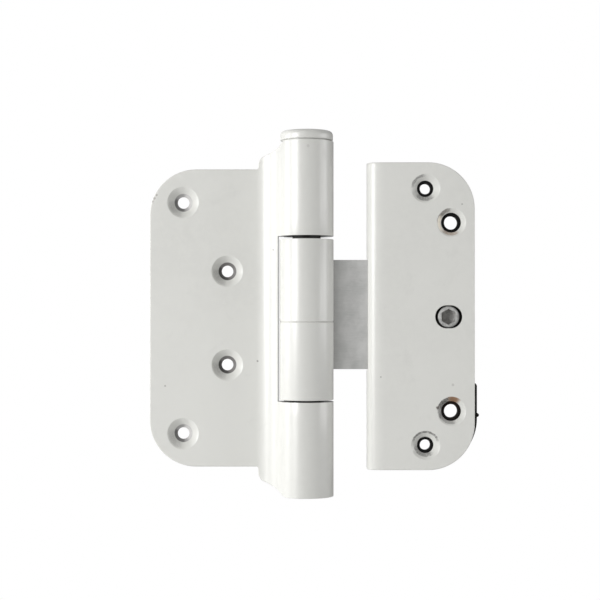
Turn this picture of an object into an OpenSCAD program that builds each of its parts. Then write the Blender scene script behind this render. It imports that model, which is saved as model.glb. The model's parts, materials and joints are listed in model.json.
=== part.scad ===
// Adjustable three-knuckle door hinge. The door leaf rises on a screw under the pin and shifts sideways on a
// slide plate. Millimetres. The origin is on the pin axis at mid barrel: +X runs towards the door leaf, +Y
// towards the wall and the door, +Z up. The leaves lie open and flat.

/* [Barrel] */
// Outer diameter of the barrel
barrel_d = 18.3; // [17.8:0.1:20]
// Length of the barrel
barrel_len = 120.1; // [116:0.1:134]
// Barrel's surface to the side of the space that the middle knuckle turns in
window_gap = 0.35; // [0.2:0.05:1]
// Space left where a rolled edge closes on its own sheet
roll_gap = 0.4; // [0.2:0.05:0.8]

/* [Jamb leaf] */
// Thickness of the jamb leaf's sheet
sheet_t = 3; // [2.8:0.1:3.2]
// Barrel's end down to the edge of the jamb leaf's plate, with both at the same centre
leaf_drop = 9.25; // [7:0.05:12]
// Plate's centre above the barrel's
leaf_rise = 0.3; // [-1:0.1:1]
// Pin axis to the jamb leaf's outer edge
jamb_reach = 53.6; // [50:0.1:60]
// Pin axis back to the front face of the plate
plate_set = 3.6; // [3:0.1:5]
// Straight length of the web between the bend and the barrel
web_flat = 0.9; // [0.5:0.1:3]
// Radius inside the bend between the plate and the web
bend_r = 9; // [7:0.1:10]
// Barrel's end down to the web's edge where it leaves the plate
ear_drop = 4.55; // [3:0.05:6]
// Pin axis to the web's outer edge
ear_reach = 16.55; // [16.5:0.05:17]
// Radius at the web's outer corners
ear_r = 2.4; // [1.5:0.1:3]
// Level strip of the web's edge beside the barrel
ear_land = 0.3; // [0.2:0.1:1]
// Corner radius of both leaves
corner_r = 15.9; // [8:0.1:18]

/* [Jamb screws] */
// Outer edge to the outer pair of screw holes
outer_edge = 11.4; // [9:0.1:13]
// Plate's upper and lower edge to the outer pair
outer_drop = 11.3; // [9:0.1:14]
// Outer edge to the inner pair of screw holes
inner_edge = 26.5; // [24:0.1:29]
// Plate's upper and lower edge to the inner pair
inner_drop = 34.8; // [30:0.1:38]
// Countersink at the face
jamb_sink_d = 10.6; // [9.6:0.1:10.8]
// Foot of the countersink
jamb_neck_d = 6.2; // [6:0.1:6.6]
// Screw hole behind the countersink
jamb_bore_d = 4.1; // [4:0.1:5.2]
// Length of the screw hole's straight wall
bore_land = 0.5; // [0.3:0.05:0.6]

/* [Pin and bearings] */
// Diameter of the hinge pin
pin_d = 9.5; // [9:0.1:10]
// Chamfer on the pin's ends
pin_chamfer = 0.6; // [0.3:0.1:1]
// Radial clearance of the pin in the bushes
pin_run = 0.05; // [0.02:0.01:0.1]
// Radial clearance of the pin in the middle knuckle
pin_press = 0.02; // [0.01:0.01:0.04]
// Radial clearance of what sits fixed in the barrel
seat_fit = 0.05; // [0.02:0.01:0.08]
// Bush set back from the knuckle's space
bush_recess = 0.2; // [0:0.05:0.6]
// Space between a bush and what closes the barrel's end
bush_room = 2.4; // [1:0.1:6]
// Diameter of the thrust ball under the pin
ball_d = 7.9; // [7:0.1:8.4]
// Bottom of the barrel up to the foot of the pin
pin_foot = 16.3; // [15.8:0.1:17]
// Space over the pin inside the barrel
pin_head_room = 3.6; // [2:0.1:6]
// Space between the ball and what it bears on
ball_gap = 0.02; // [0.01:0.01:0.05]

/* [Top cap] */
// Diameter of the cap's head
cap_d = 17.9; // [16.5:0.1:18.2]
// Height of the cap's head
cap_h = 3.2; // [2.4:0.1:5]
// Rounding of the head's upper edge
cap_round = 1.5; // [0.5:0.1:2]
// Height of the groove under the head
groove_h = 0.35; // [0.2:0.05:0.6]
// Depth of that groove
groove_in = 0.8; // [0.4:0.1:1.2]
// Length of the plug that holds the cap
plug_len = 7.5; // [5:0.1:9]

/* [Height screw] */
// Diameter of the height screw
height_d = 8; // [7:0.1:8.4]
// Length of the height screw
height_len = 7.5; // [6:0.1:7.7]
// Radial clearance of both screws in their threads
thread_fit = 0.05; // [0.02:0.01:0.1]
// Length of the threaded insert
insert_len = 7.6; // [6:0.1:8.2]
// Width across flats of the height screw's socket
height_hex = 4; // [3:0.1:5]
// Depth of both screws' sockets
hex_depth = 3; // [2:0.1:3.6]
// Chamfer on both screws
screw_chamfer = 0.4; // [0.2:0.05:0.6]

/* [Middle knuckle] */
// Height of the middle knuckle
knuckle_h = 54.3; // [50:0.1:60]
// Space above the middle knuckle
space_above = 1.05; // [0.5:0.05:1.2]
// Space below the middle knuckle
space_below = 0.55; // [0.5:0.05:1.2]
// Seam between the sleeves below the knuckle's centre
seam_drop = 0.75; // [-3:0.05:4]
// Chamfer on the sleeves at the seam
seam_chamfer = 0.3; // [0.1:0.05:0.5]
// Radial clearance of the sleeves on the rolled knuckle
sleeve_fit = 0.05; // [0.03:0.01:0.08]
// Clearance of the tongue in the sleeves' slot
tongue_fit = 0.03; // [0.02:0.01:0.04]
// Rolled knuckle's ends inside the sleeves' ends
roll_inset = 0.2; // [0.1:0.05:0.6]

/* [Slide plate] */
// Thickness of the slide plate's sheet
slide_t = 2.5; // [2.2:0.1:2.8]
// Height of the slide plate
slide_h = 37.4; // [30:0.1:44]
// Slide plate's centre above the barrel's
slide_rise = 1.5; // [-2:0.1:3]
// Slide plate's far end inside the cover's outer edge
slide_short = 3.6; // [2:0.1:4.2]
// Running gap on each face of the slide plate
slide_gap = 0.15; // [0.05:0.05:0.3]
// Running gap above and below the slide plate
slide_side_gap = 0.4; // [0.2:0.05:0.8]

/* [Door leaf] */
// Thickness of the cover
cover_t = 2.3; // [2.2:0.1:2.8]
// Barrel's end down to the cover's edge, with both at the same centre
cover_drop = 7.55; // [6:0.05:10]
// Cover's centre above the barrel's
cover_rise = 0.9; // [-1:0.1:1]
// Pin axis to the cover's folded edge
cover_near = 20.7; // [19:0.1:24]
// Width of the cover
cover_w = 36.7; // [33:0.1:42]
// Radius inside the cover's fold
fold_r = 1; // [0.5:0.1:2]
// Thickness of the back plate
back_t = 1.6; // [1.2:0.1:2.4]
// Back plate's edge inside the cover's
back_inset = 0.4; // [0.2:0.1:1]
// Cover's fold to the back plate
fold_gap = 0.1; // [0.05:0.05:0.3]
// How far the back plate's lower lug stands past the cover
lug_out = 1.3; // [0.5:0.1:1.6]
// Height of the lug above the cover's lower edge
lug_h = 29.6; // [24:0.1:34]
// Radius at the top of the lug
lug_r = 1.2; // [0.5:0.1:2]
// Cover's lower edge to the shear mark on the lug
nub_rise = 18.5; // [18:0.1:24]
// Radius of the shear mark
nub_r = 0.7; // [0.4:0.1:0.9]
// Spacer's edge inside the cover's
spacer_inset = 1; // [0.6:0.1:2]

/* [Door screws] */
// Outer edge to the end pair of screw holes
end_edge = 16.8; // [14:0.1:19]
// Cover's upper and lower edge to the end pair
end_drop = 8.7; // [8:0.1:12]
// Outer edge to the middle pair of screw holes
middle_edge = 8; // [7.6:0.1:9]
// Cover's upper and lower edge to the middle pair
middle_drop = 20.3; // [19:0.1:23]
// Centre of both pairs below the cover's centre
holes_low = 0.2; // [0:0.1:1]
// Countersink at the cover's face
door_sink_d = 9.8; // [9:0.1:10]
// Hole through the cover, end pair
end_neck_d = 5.6; // [5.4:0.1:6.2]
// Hole through the cover, middle pair
middle_neck_d = 6.8; // [6.2:0.1:7.2]
// Hole through spacer and back plate, end pair
end_bore_d = 3.8; // [3.6:0.1:4.8]
// Hole through spacer and back plate, middle pair
middle_bore_d = 4.8; // [4.4:0.1:5.4]

/* [Lock screw] */
// Outer edge to the lock screw
lock_edge = 8.9; // [8.6:0.1:9.8]
// Diameter of the lock screw
lock_d = 7.6; // [7:0.1:7.7]
// Lock screw's end below the cover's face
lock_sunk = 0.5; // [0.3:0.1:1]
// Width across flats of the lock screw's socket
lock_hex = 4.7; // [4:0.1:5]
// Height of the slot over the lock screw
slot_h = 7.8; // [7.8:0.1:8.4]
// Sideways travel of the cover each way
side_travel = 0.75; // [0.5:0.05:1]

/* [Hidden] */
$fn = 96;
// How far a cutter runs past what it cuts
over = 2;
white = [0.84, 0.84, 0.82];
zinc = [0.62, 0.62, 0.6];
steel = [0.5, 0.5, 0.5];
black = [0.1, 0.1, 0.1];
nylon = [0.88, 0.87, 0.82];

barrel_r = barrel_d / 2;
barrel_end = barrel_len / 2;
barrel_bore = barrel_r - sheet_t;
window_h = knuckle_h + space_above + space_below;
window_side = barrel_r + window_gap;
pin_r = pin_d / 2;
bush_from = window_h / 2 + bush_recess;
bush_len = barrel_end - max(plug_len, insert_len) - bush_room - bush_from;

leaf_h = barrel_len - 2 * leaf_drop;
ear_h = barrel_len - 2 * ear_drop;
outer_z = leaf_h / 2 - outer_drop;
inner_z = leaf_h / 2 - inner_drop;

// Bend's centre, and the turn of the frame in which the web runs along -Y from the barrel
bend_y = plate_set - bend_r;
bend_x = -sqrt(pow(barrel_r + bend_r, 2) + pow(web_flat, 2) - pow(bend_y, 2));
barrel_turn = (atan2(bend_y, bend_x) + 360) % 360 + atan(web_flat / (barrel_r + bend_r));
web_angle = 270 - barrel_turn;
roll_close = barrel_turn - acos((barrel_bore - roll_gap) / barrel_r);
bend_steps = 11;

// Web's upper outline: the corner's centre, the barrel's edge and the line between them
ear_at = [ear_r - ear_reach, ear_h / 2 - ear_r];
ear_edge = [-barrel_r * sin(web_angle) - ear_land, barrel_end];
ear_line = ear_edge - ear_at;
ear_turn = atan2(ear_line.y, ear_line.x) + acos(ear_r / norm(ear_line));
ear_touch = ear_at + ear_r * [cos(ear_turn), sin(ear_turn)];
ear_past = ear_edge + over * (ear_edge - ear_touch) / norm(ear_edge - ear_touch);

knuckle_low = space_below - window_h / 2;
knuckle_high = window_h / 2 - space_above;
seam_z = (knuckle_low + knuckle_high) / 2 - seam_drop;
roll_r = pin_r + pin_press;
roll_out = roll_r + slide_t;
sleeve_bore = roll_out + sleeve_fit;
slide_low = slide_rise - slide_h / 2;
slide_high = slide_rise + slide_h / 2;

pin_low = -barrel_end + pin_foot;
pin_high = barrel_end - plug_len - pin_head_room;
ball_z = pin_low - ball_gap - ball_d / 2;
height_top = ball_z - ball_d / 2 - ball_gap;

// The door leaf's layers from the front to the back
cover_y = roll_r - slide_gap - cover_t;
spacer_y = cover_y + cover_t;
back_y = roll_out + slide_gap;
spacer_t = back_y - spacer_y;
leaf_back = back_y + back_t;
fold_out = fold_r + cover_t;
cover_reach = cover_near + cover_w;
slide_reach = cover_reach - slide_short;
cover_h = barrel_len - 2 * cover_drop;
cover_low = cover_rise - cover_h / 2;
cover_high = cover_rise + cover_h / 2;
back_near = cover_near + cover_t + fold_gap;
spacer_near = cover_near + fold_out + fold_gap;
lug_top = cover_low + lug_h;

door_holes_z = cover_rise - holes_low;
end_z = cover_h / 2 - end_drop;
middle_z = cover_h / 2 - middle_drop;
end_x = cover_reach - end_edge;
middle_x = cover_reach - middle_edge;
lock_x = cover_reach - lock_edge;
lock_y = cover_y + lock_sunk;
lock_len = roll_out - lock_y;
slot_w = lock_d + 2 * (side_travel + thread_fit);

// Ring sector about Z from angle a, swept by turn
module arc_wall(r_in, r_out, a, turn, z, h) {
    rotate([0, 0, a])
        rotate_extrude(angle = turn)
            translate([r_in, z])
                square([r_out - r_in, h]);
}

// Straight ring about Z
module ring(r_in, r_out, z, h) {
    translate([0, 0, z])
        difference() {
            cylinder(r = r_out, h = h);
            translate([0, 0, -over])
                cylinder(r = r_in, h = h + 2 * over);
        }
}

// A flat outline, drawn as X and Z, given thickness t behind the plane y
module sheet(y, t) {
    translate([0, y + t, 0])
        rotate([90, 0, 0])
            linear_extrude(t)
                children();
}

// Cutter for a countersunk screw hole that starts at the face y of a sheet of thickness t
module sunk_hole(x, y, z, sink_d, neck_d, bore_d, t, land) {
    neck_y = (sink_d - neck_d) / 2;
    translate([x, y, z])
        rotate([-90, 0, 0])
            rotate_extrude()
                polygon(concat(
                    [[0, -over], [sink_d / 2 + over, -over], [neck_d / 2, neck_y]],
                    bore_d < neck_d ? [[bore_d / 2, t - land]] : [],
                    [[bore_d / 2, t + over], [0, t + over]]
                ));
}

// Cutter for a plain hole from the plane y back through t
module plain_hole(x, y, z, d, t) {
    translate([x, y - over, z])
        rotate([-90, 0, 0])
            cylinder(d = d, h = t + 2 * over);
}

// Upper half of the web's outline between the plate and the barrel
module ear_outline() {
    polygon([
        [0, 0], [0, ear_past.y], ear_past, ear_touch, ear_at, [-ear_reach, ear_at.y],
        [-ear_reach, 0]
    ]);
    translate(ear_at)
        circle(r = ear_r);
}

// Jamb plate's outline, rounded at its outer corners
module jamb_outline() {
    core_h = leaf_h - 2 * corner_r;
    translate([-jamb_reach, leaf_rise - core_h / 2])
        square([corner_r + over, core_h]);
    translate([-jamb_reach + corner_r, leaf_rise - leaf_h / 2])
        square([jamb_reach - corner_r + ear_at.x, leaf_h]);
    for (side = [-1, 1])
        translate([-jamb_reach + corner_r, leaf_rise + side * core_h / 2])
            circle(r = corner_r);
}

// Plate, bend and web as one folded sheet, in the barrel's turned frame, before its outline is cut
module folded_sheet() {
    bend_at = [barrel_r + bend_r, bend_x * cos(web_angle) - bend_y * sin(web_angle)];
    turns = [for (i = [0 : bend_steps]) 180 + web_angle * i / bend_steps];
    front = [for (a = turns) bend_at + bend_r * [cos(a), sin(a)]];
    back = [for (a = turns) bend_at + (bend_r + sheet_t) * [cos(a), sin(a)]];
    run = (jamb_reach + bend_x) * [sin(web_angle), -cos(web_angle)];
    linear_extrude(barrel_len, center = true)
        polygon(concat(
            [[barrel_bore, 0], [barrel_r, 0]], front, [front[bend_steps] + run, back[bend_steps] + run],
            [for (i = [bend_steps : -1 : 0]) back[i]]
        ));
}

module jamb_screw_holes() {
    for (side = [-1, 1]) {
        sunk_hole(outer_edge - jamb_reach, plate_set, leaf_rise + side * outer_z,
            jamb_sink_d, jamb_neck_d, jamb_bore_d, sheet_t, bore_land);
        sunk_hole(inner_edge - jamb_reach, plate_set, leaf_rise + side * inner_z,
            jamb_sink_d, jamb_neck_d, jamb_bore_d, sheet_t, bore_land);
    }
}

module jamb_leaf() {
    color(white)
        difference() {
            rotate([0, 0, barrel_turn])
                union() {
                    arc_wall(barrel_bore, barrel_r, 0, 360 + roll_close - barrel_turn,
                        -barrel_end, barrel_len);
                    intersection() {
                        folded_sheet();
                        rotate([0, 0, -barrel_turn])
                            sheet(-barrel_r - over, barrel_d + 2 * over) {
                                jamb_outline();
                                ear_outline();
                                mirror([0, 1]) ear_outline();
                            }
                    }
                }
            translate([-window_side, -barrel_r - over, -window_h / 2])
                cube([window_side + barrel_r + over, barrel_d + 2 * over, window_h]);
            jamb_screw_holes();
        }
}

module upper_bush() {
    color(nylon)
        ring(pin_r + pin_run, barrel_bore - seat_fit, bush_from, bush_len);
}

module lower_bush() {
    color(nylon)
        ring(pin_r + pin_run, barrel_bore - seat_fit, -bush_from - bush_len, bush_len);
}

// Cap over the upper knuckle, with a plug that holds it in the bore
module top_cap() {
    head_r = cap_d / 2;
    color(white)
        translate([0, 0, barrel_end])
            rotate_extrude() {
                translate([0, -plug_len])
                    square([barrel_bore - seat_fit, plug_len]);
                square([head_r - groove_in, groove_h + cap_h / 2]);
                translate([0, groove_h]) {
                    square([head_r, cap_h - cap_round]);
                    square([head_r - cap_round, cap_h]);
                    translate([head_r - cap_round, cap_h - cap_round])
                        circle(r = cap_round);
                }
            }
}

// Threaded insert flush with the barrel's lower end
module screw_insert() {
    color(zinc)
        ring(height_d / 2 + thread_fit, barrel_bore - seat_fit, -barrel_end, insert_len);
}

module thrust_ball() {
    color(steel)
        translate([0, 0, ball_z])
            sphere(d = ball_d);
}

// Set screw along +Z from its socket end at z = 0
module set_screw(d, len, hex) {
    difference() {
        rotate_extrude()
            polygon([
                [0, 0], [d / 2 - screw_chamfer, 0], [d / 2, screw_chamfer],
                [d / 2, len - screw_chamfer], [d / 2 - screw_chamfer, len], [0, len]
            ]);
        translate([0, 0, -over])
            cylinder(d = hex / cos(30), h = over + hex_depth, $fn = 6);
    }
}

module height_screw() {
    color(steel)
        translate([0, 0, height_top - height_len])
            set_screw(height_d, height_len, height_hex);
}

module hinge_pin() {
    color(zinc)
        rotate_extrude()
            polygon([
                [0, pin_low], [pin_r - pin_chamfer, pin_low], [pin_r, pin_low + pin_chamfer],
                [pin_r, pin_high - pin_chamfer], [pin_r - pin_chamfer, pin_high], [0, pin_high]
            ]);
}

// Rolled knuckle around the pin, and the tongue that runs on into the door leaf
module slide_leaf() {
    roll_low = knuckle_low + roll_inset;
    roll_end = asin((roll_r - roll_gap) / roll_out);
    color(zinc)
        difference() {
            union() {
                arc_wall(roll_r, roll_out, 90, 270 + roll_end, roll_low, knuckle_h - 2 * roll_inset);
                translate([0, roll_r, slide_low])
                    cube([slide_reach, slide_t, slide_h]);
            }
            plain_hole(lock_x, roll_r, door_holes_z, lock_d + 2 * thread_fit, slide_t);
        }
}

// Sleeve between z = low and z = high, chamfered at the seam end, slotted for the tongue
module sleeve(low, high, seam_low) {
    low_cut = seam_low ? seam_chamfer : 0;
    high_cut = seam_low ? 0 : seam_chamfer;
    difference() {
        rotate_extrude()
            polygon([
                [sleeve_bore, low], [barrel_r - low_cut, low], [barrel_r, low + low_cut],
                [barrel_r, high - high_cut], [barrel_r - high_cut, high], [sleeve_bore, high]
            ]);
        translate([0, roll_r - tongue_fit, slide_low - slide_side_gap])
            cube([barrel_r + over, slide_t + 2 * tongue_fit, slide_h + 2 * slide_side_gap]);
    }
}

module sleeve_upper() {
    color(white)
        sleeve(seam_z, knuckle_high, true);
}

module sleeve_lower() {
    color(white)
        sleeve(knuckle_low, seam_z, false);
}

// Leaf outline from x = near to reach, rounded by r at both outer corners
module door_outline(near, reach, low, high, r) {
    intersection() {
        translate([near, low - over])
            square([reach - near + over, high - low + 2 * over]);
        union() {
            translate([near - over, low])
                square([reach - r - near + over, high - low]);
            translate([reach - r - over, low + r])
                square([r + over, high - low - 2 * r]);
            for (z = [low + r, high - r])
                translate([reach - r, z])
                    circle(r = r);
        }
    }
}

// The four screw holes as plain holes through t behind the plane y
module door_plain_holes(y, t) {
    for (side = [-1, 1]) {
        plain_hole(end_x, y, door_holes_z + side * end_z, end_bore_d, t);
        plain_hole(middle_x, y, door_holes_z + side * middle_z, middle_bore_d, t);
    }
}

module door_sunk_holes() {
    for (side = [-1, 1]) {
        sunk_hole(end_x, cover_y, door_holes_z + side * end_z,
            door_sink_d, end_neck_d, end_neck_d, cover_t, 0);
        sunk_hole(middle_x, cover_y, door_holes_z + side * middle_z,
            door_sink_d, middle_neck_d, middle_neck_d, cover_t, 0);
    }
}

// Oblong opening over the lock screw
module lock_slot() {
    half = (slot_w - slot_h) / 2;
    sheet(cover_y - over, cover_t + 2 * over)
        translate([lock_x, door_holes_z]) {
            square([2 * half, slot_h], center = true);
            for (side = [-1, 1])
                translate([side * half, 0])
                    circle(d = slot_h);
        }
}

// Folded cover of the door leaf
module cover_plate() {
    color(white)
        difference() {
            union() {
                sheet(cover_y, cover_t)
                    door_outline(cover_near + fold_out, cover_reach, cover_low, cover_high, corner_r);
                translate([cover_near + fold_out, cover_y + fold_out, 0])
                    arc_wall(fold_r, fold_out, 180, 90, cover_low, cover_h);
                translate([cover_near, cover_y + fold_out, cover_low])
                    cube([cover_t, leaf_back - cover_y - fold_out, cover_h]);
            }
            translate([cover_near - over, roll_r - slide_gap, slide_low - slide_side_gap])
                cube([
                    fold_out + over, leaf_back - roll_r + slide_gap + over, slide_h + 2 * slide_side_gap
                ]);
            door_sunk_holes();
            lock_slot();
        }
}

// Spacer outline kept inside the cover's outer edges
module spacer_outline() {
    door_outline(spacer_near, cover_reach - spacer_inset, cover_low + spacer_inset,
        cover_high - spacer_inset, corner_r - spacer_inset);
}

// One spacer, above or below the slide plate
module spacer(from, to) {
    difference() {
        sheet(spacer_y, spacer_t)
            intersection() {
                spacer_outline();
                translate([spacer_near - over, from])
                    square([cover_w, to - from]);
            }
        door_plain_holes(spacer_y, spacer_t);
    }
}

module spacer_upper() {
    color(black)
        spacer(slide_high + slide_side_gap, cover_high + over);
}

module spacer_lower() {
    color(black)
        spacer(cover_low - over, slide_low - slide_side_gap);
}

// Outline of the lug that shows past the cover's lower outer corner
module lug_outline() {
    lug_reach = cover_reach + lug_out;
    lug_low = cover_low + back_inset;
    lug_near = cover_reach - corner_r;
    big_r = corner_r + lug_out;
    translate([lug_near, lug_low + big_r])
        square([lug_reach - lug_near, lug_top - lug_r - lug_low - big_r]);
    translate([lug_near, lug_top - lug_r - over])
        square([lug_reach - lug_r - lug_near, lug_r + over]);
    translate([lug_reach - lug_r, lug_top - lug_r])
        circle(r = lug_r);
    intersection() {
        translate([lug_reach - big_r, lug_low + big_r])
            circle(r = big_r);
        translate([lug_near, lug_low - over])
            square([big_r, big_r + 2 * over]);
    }
    translate([lug_reach, cover_low + nub_rise])
        circle(r = nub_r);
}

module back_plate() {
    color(black)
        difference() {
            sheet(back_y, back_t) {
                door_outline(back_near, cover_reach - back_inset, cover_low + back_inset,
                    cover_high - back_inset, corner_r - back_inset);
                lug_outline();
            }
            door_plain_holes(back_y, back_t);
        }
}

module lock_screw() {
    color(steel)
        translate([lock_x, lock_y, door_holes_z])
            rotate([-90, 0, 0])
                set_screw(lock_d, lock_len, lock_hex);
}

jamb_leaf();
upper_bush();
lower_bush();
top_cap();
screw_insert();
thrust_ball();
height_screw();
hinge_pin();
slide_leaf();
sleeve_upper();
sleeve_lower();
cover_plate();
spacer_upper();
spacer_lower();
back_plate();
lock_screw();
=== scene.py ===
"""Adjustable three-knuckle door hinge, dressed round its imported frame.

The folded and rolled sheets are cut as flat blanks with rounded edges and then bent. What is turned or
threaded comes from Geometry Nodes. The code reckons in metres, in the part's own frame; the defaults of
lengths and the rows of chips and stains are written in millimetres.
"""

import json
import math

import bmesh
import bpy
from bpy.props import FloatProperty, FloatVectorProperty, IntProperty, PointerProperty
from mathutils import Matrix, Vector


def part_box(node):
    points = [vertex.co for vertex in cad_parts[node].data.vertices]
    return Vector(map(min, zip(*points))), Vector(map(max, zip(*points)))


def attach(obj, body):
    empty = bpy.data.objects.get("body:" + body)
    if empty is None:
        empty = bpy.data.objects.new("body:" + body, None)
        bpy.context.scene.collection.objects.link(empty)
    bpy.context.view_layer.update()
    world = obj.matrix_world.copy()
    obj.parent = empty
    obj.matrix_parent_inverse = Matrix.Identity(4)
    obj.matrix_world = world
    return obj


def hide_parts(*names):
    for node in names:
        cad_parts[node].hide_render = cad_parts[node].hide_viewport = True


bl_info = {
    "name": "Adjustable door hinge",
    "version": (1, 0, 0),
    "blender": (4, 5, 0),
    "location": "3D View > Sidebar > Hinge",
    "description": "Builds the visible pieces of an adjustable door hinge and its finishes",
    "category": "Add Mesh",
}

MM = 0.001
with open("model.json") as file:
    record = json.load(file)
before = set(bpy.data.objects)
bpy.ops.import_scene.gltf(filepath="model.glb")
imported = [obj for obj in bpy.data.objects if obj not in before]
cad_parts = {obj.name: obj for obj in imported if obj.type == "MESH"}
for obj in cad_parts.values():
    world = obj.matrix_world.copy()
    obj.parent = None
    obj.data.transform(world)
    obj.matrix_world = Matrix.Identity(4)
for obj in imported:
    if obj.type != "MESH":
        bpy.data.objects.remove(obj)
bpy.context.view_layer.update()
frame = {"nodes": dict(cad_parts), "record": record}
BOX = {name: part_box(name) for name in frame["nodes"]}
MOUNTS = {m["name"]: m for m in frame["record"]["mounts"]}

BARREL_R = BOX["sleeve_upper"][1].x
BARREL_END = -BOX["jamb_leaf"][0].z
PLATE_EDGE = BOX["jamb_leaf"][0].x
COVER_LOW, COVER_HIGH = BOX["cover_plate"]
BACK_LOW = BOX["back_plate"][0]
LOCK = (BOX["lock_screw"][0] + BOX["lock_screw"][1]) / 2

PLAY = 0.05 * MM  # between a piece and the bore that it turns in
CUT_PLAY = 0.03 * MM  # between the tongue and the faces of the sleeves' cut
HOLE_TRIM = 0.08 * MM  # taken off the radius of the drilled screw holes
# Rounding of the edges: in front on the jamb leaf and on the cover, behind on both, and on the other sheets
JAMB_EDGE, COVER_EDGE, WHITE_BACK_EDGE = 0.32 * MM, 0.34 * MM, 0.2 * MM
BACK_PLATE_EDGE, SPACER_EDGE, TONGUE_EDGE = 0.16 * MM, 0.12 * MM, 0.14 * MM
EDGE_STRIP = 0.2 * MM  # flat strip kept beside a rounded edge
WELD = 1e-6  # points nearer than this are one
SHARP = math.radians(36)  # edges that turn by more are shaded sharp
BEYOND = 20.0 * MM  # how far a cutting box reaches past what it cuts
BEND_CUTS, ROLL_CUTS = 20, 72
# Each lamp's name, azimuth, elevation and diameter
LAMPS = (("key", -50, 8, 0.42), ("side", -88, 4, 0.42), ("gleam", 66, 4, 0.26), ("fill", 85, 6, 0.42))
DOOR_MOUNTS = ("door_screws_end", "door_screws_middle")

PALETTE = {}  # the materials, once they are made


# ---- sizes and colours

def number(name, text, value, **more):
    return FloatProperty(name=name, description=text, default=value, **more)


def mm(name, text, value, low=0.0):
    """A length, its default given in millimetres."""
    return number(name, text, value * MM, min=low, unit="LENGTH", precision=5)


def angle(name, text, degrees):
    return number(name, text, math.radians(degrees), subtype="ANGLE")


def colour(name, text, value):
    return FloatVectorProperty(name=name, description=text, default=value, subtype="COLOR", size=3,
                               min=0.0, max=1.0)


class JambLeafSizes(bpy.types.PropertyGroup):
    sheet: mm("Sheet", "Thickness of the jamb leaf's sheet", 3.0)
    plate_half: mm("Plate half height", "Half the height of the flat plate", 50.8)
    plate_set: mm("Plate set back", "Pin axis back to the plate's front face", 3.6)
    plate_rise: mm("Plate rise", "Plate's centre above the barrel's", 0.3)
    corner: mm("Corner radius", "Radius at the plate's outer corners", 15.9)
    bend: mm("Bend radius", "Radius inside the bend between plate and web", 9.0)
    web_flat: mm("Web", "Straight length of the web between the bend and the barrel", 0.9)
    roll_sweep: angle("Roll", "How far the sheet is rolled round the pin", 308.9)
    ear_half: mm("Ear half height", "Half the web's height where it leaves the plate", 55.5)
    ear_reach: mm("Ear reach", "Pin axis to the web's outer edge", 16.55)
    ear_corner: mm("Ear corner", "Height of the rounding at the web's outer corners", 3.3)
    ear_squash: number("Ear squash", "Width of that rounding over its height", 0.75)
    ear_land: mm("Ear landing", "Pin axis to where the web's edge meets the barrel's end", 7.3)
    step_fillet: mm("Step fillet", "Radius where the plate's edge meets the web's ear", 0.7)
    window_half: mm("Window half height", "Half the height of the space for the middle knuckle", 27.95)
    window_side: mm("Window side", "Pin axis to the side of that space", 9.5)
    window_round: mm("Window rounding", "Rounding of that space's edges", 0.22)
    sink: mm("Countersink", "Radius of the countersink at the face", 5.3)
    neck: mm("Neck", "Radius at the foot of the countersink", 3.05)
    land: mm("Land", "Length of the screw hole's straight wall", 0.12)


class DoorLeafSizes(bpy.types.PropertyGroup):
    cover: mm("Cover", "Thickness of the cover's sheet", 2.3)
    corner: mm("Corner radius", "Radius at the cover's outer corners", 15.9)
    fold: mm("Fold radius", "Radius inside the cover's fold", 1.0)
    fold_width: mm("Fold width", "Width of the fold's rounding across the cover's face", 6.0)
    settle: mm("Settling", "Length of sheet over which that rounding dies out behind the face", 8.0)
    square_corner: mm("Fold corner", "Radius at the cover's corners beside the fold", 0.5)
    tongue_gap: mm("Tongue gap", "Space between the tongue's front and the cut in the fold", 0.15)
    sink: mm("Countersink", "Radius of the countersinks at the cover's face", 4.9)
    end_neck: mm("End neck", "Radius of the cover's end holes", 2.8)
    middle_neck: mm("Middle neck", "Radius of the cover's middle holes", 3.4)
    slot_half: mm("Slot half width", "Half the width of the opening over the lock screw", 4.6)
    slot_radius: mm("Slot radius", "Radius of that opening's ends", 3.9)
    slot_rim: mm("Slot rim", "Rounding of that opening's edges", 0.16)
    back: mm("Back plate", "Thickness of the back plate", 1.6)
    back_holes: mm("Back plate holes", "How much larger in radius its holes are than the spacers'", 0.25)
    inset: mm("Back plate inset", "Back plate's edge inside the cover's", 0.4)
    # The lug and its nub stand in for a cast shadow beside the cover's lower right edge: black sheet as
    # painted shade
    shadow_lug_out: mm("Lug", "How far the back plate's lug stands past the cover", 1.3)
    lug_top: mm("Lug top", "Pin centre down to the top of that lug", 22.0)
    lug_round: mm("Lug rounding", "Radius at the top of the lug", 1.2)
    lug_rise: mm("Lug rise", "Start of the lug's lower arc above the cover's lower edge", 0.1)
    root: mm("Lug root", "Chamfer where the lug's top meets the plate's edge", 0.3)
    nub_drop: mm("Nub", "Pin centre down to the shear mark on the lug", 33.1)
    nub: mm("Nub radius", "Radius of the shear mark", 0.7)
    spacer_corner: mm("Spacer corner", "Radius at the spacers' outer corners", 14.9)


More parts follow.
